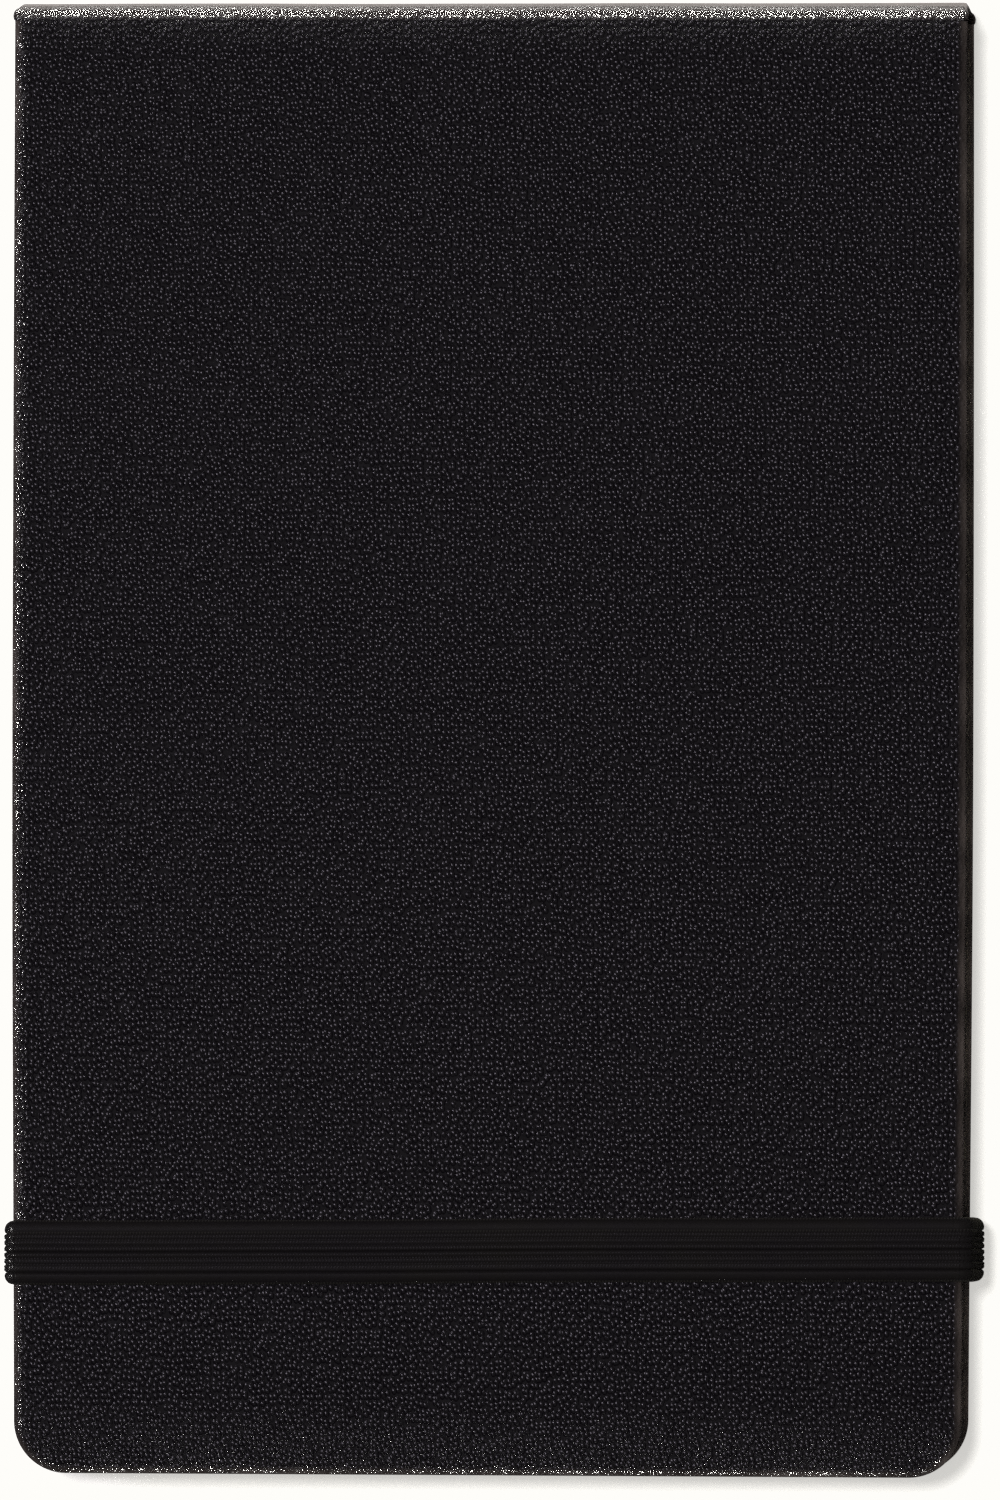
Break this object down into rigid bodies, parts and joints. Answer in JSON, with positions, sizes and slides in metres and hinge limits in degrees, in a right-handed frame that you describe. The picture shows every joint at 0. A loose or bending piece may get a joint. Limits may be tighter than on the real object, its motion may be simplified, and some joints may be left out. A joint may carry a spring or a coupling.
{
  "type": "pocket hardback sketchbook",
  "caption": "Closed pocket hardback sketchbook that opens upwards, with grained black leatherette covers, sewn paper block, inner pocket and a flat elastic band.",
  "frame": {"origin": "centre of the closed book's footprint, on the surface it lies on", "axes": "+X to the reader's right, +Y from the free edge to the spine, +Z out of the front cover"},
  "size_m": [0.0926, 0.1404, 0.017],
  "materials": {
    "leatherette": "black leatherette with a fine pebble grain, satin with small bright glints",
    "board": "dense grey binder's board, cut edges",
    "endpaper": "smooth heavy ivory paper",
    "paper": "ivory drawing paper with a light tooth",
    "pocket_card": "ivory card",
    "pocket_cloth": "black woven bookcloth",
    "elastic": "black woven elastic with eight cords and a fine herringbone face",
    "thread": "waxed linen sewing thread",
    "mull": "open gauze stiffened with glue",
    "spine_card": "brown kraft card"
  },
  "bodies": {
    "back_cover": {"back_board": "board", "back_cover_skin": "leatherette", "back_pastedown": "endpaper", "elastic_end_left": "elastic", "elastic_end_right": "elastic", "pocket_gusset_left": "pocket_cloth", "pocket_gusset_right": "pocket_cloth"},
    "text_block": {"signature_1_sheet_1": "paper", "signature_1_sheet_2": "paper", "signature_1_sheet_3": "paper", "signature_1_sheet_4": "paper", "signature_2_sheet_1": "paper", "signature_2_sheet_2": "paper", "signature_2_sheet_3": "paper", "signature_2_sheet_4": "paper", "signature_3_sheet_1": "paper", "signature_3_sheet_2": "paper", "signature_3_sheet_3": "paper", "signature_3_sheet_4": "paper", "signature_4_sheet_1": "paper", "signature_4_sheet_2": "paper", "signature_4_sheet_3": "paper", "signature_4_sheet_4": "paper", "signature_5_sheet_1": "paper", "signature_5_sheet_2": "paper", "signature_5_sheet_3": "paper", "signature_5_sheet_4": "paper", "sewing_stitch_1": "thread", "sewing_stitch_2": "thread", "sewing_stitch_3": "thread", "sewing_stitch_4": "thread", "spine_mull": "mull", "spine_card": "spine_card", "spine_skin": "leatherette", "back_flyleaf": "endpaper"},
    "front_cover": {"front_board": "board", "front_cover_skin": "leatherette", "front_pastedown": "endpaper"},
    "front_flyleaf": {"front_flyleaf": "endpaper"},
    "leaf_1": {"leaf_1": "paper"},
    "leaf_2": {"leaf_2": "paper"},
    "leaf_3": {"leaf_3": "paper"},
    "leaf_4": {"leaf_4": "paper"},
    "pocket": {"pocket_panel": "pocket_card", "pocket_mouth_cloth": "pocket_cloth"},
    "elastic_band": {"elastic_front": "elastic", "elastic_side_left": "elastic", "elastic_side_right": "elastic"}
  },
  "joints": [
    {"name": "cover_open", "type": "hinge", "parent": "text_block", "child": "front_cover", "pos_m": [0, 0.06955, 0.01615], "axis": [-1, 0, 0], "range_deg": [0, 186]},
    {"name": "back_open", "type": "hinge", "parent": "back_cover", "child": "text_block", "pos_m": [0, 0.06955, 0.00095], "axis": [1, 0, 0], "range_deg": [-90, 0]},
    {"name": "elastic_release", "type": "slide", "parent": "back_cover", "child": "elastic_band", "axis": [0, 0.9659, -0.2588], "range_m": [-0.028, 0], "stiffness_N_per_m": 60, "deforming": ["elastic_front", "elastic_side_left", "elastic_side_right"]},
    {"name": "pocket_spring", "type": "hinge", "parent": "back_cover", "child": "pocket", "pos_m": [0, -0.06675, 0.00415], "axis": [1, 0, 0], "range_deg": [0, 5.4], "deforming": ["pocket_gusset_left", "pocket_gusset_right"]},
    {"name": "front_flyleaf_turn", "type": "hinge", "parent": "text_block", "child": "front_flyleaf", "pos_m": [0, 0.06955, 0.01615], "axis": [-1, 0, 0], "range_deg": [0, 186]},
    {"name": "leaf_1_turn", "type": "hinge", "parent": "text_block", "child": "leaf_1", "pos_m": [0, 0.06955, 0.01615], "axis": [-1, 0, 0], "range_deg": [0, 186]},
    {"name": "leaf_2_turn", "type": "hinge", "parent": "text_block", "child": "leaf_2", "pos_m": [0, 0.06955, 0.01615], "axis": [-1, 0, 0], "range_deg": [0, 186]},
    {"name": "leaf_3_turn", "type": "hinge", "parent": "text_block", "child": "leaf_3", "pos_m": [0, 0.06955, 0.01615], "axis": [-1, 0, 0], "range_deg": [0, 186]},
    {"name": "leaf_4_turn", "type": "hinge", "parent": "text_block", "child": "leaf_4", "pos_m": [0, 0.06955, 0.01615], "axis": [-1, 0, 0], "range_deg": [0, 186]}
  ],
  "couplings": [
    {"joint": "front_flyleaf_turn", "follows": "cover_open", "ratio": 0.97},
    {"joint": "leaf_1_turn", "follows": "cover_open", "ratio": 0.94},
    {"joint": "leaf_2_turn", "follows": "cover_open", "ratio": 0.9},
    {"joint": "leaf_3_turn", "follows": "cover_open", "ratio": 0.83},
    {"joint": "leaf_4_turn", "follows": "cover_open", "ratio": 0.7},
    {"joint": "pocket_spring", "follows": "back_open", "ratio": -0.06}
  ]
}
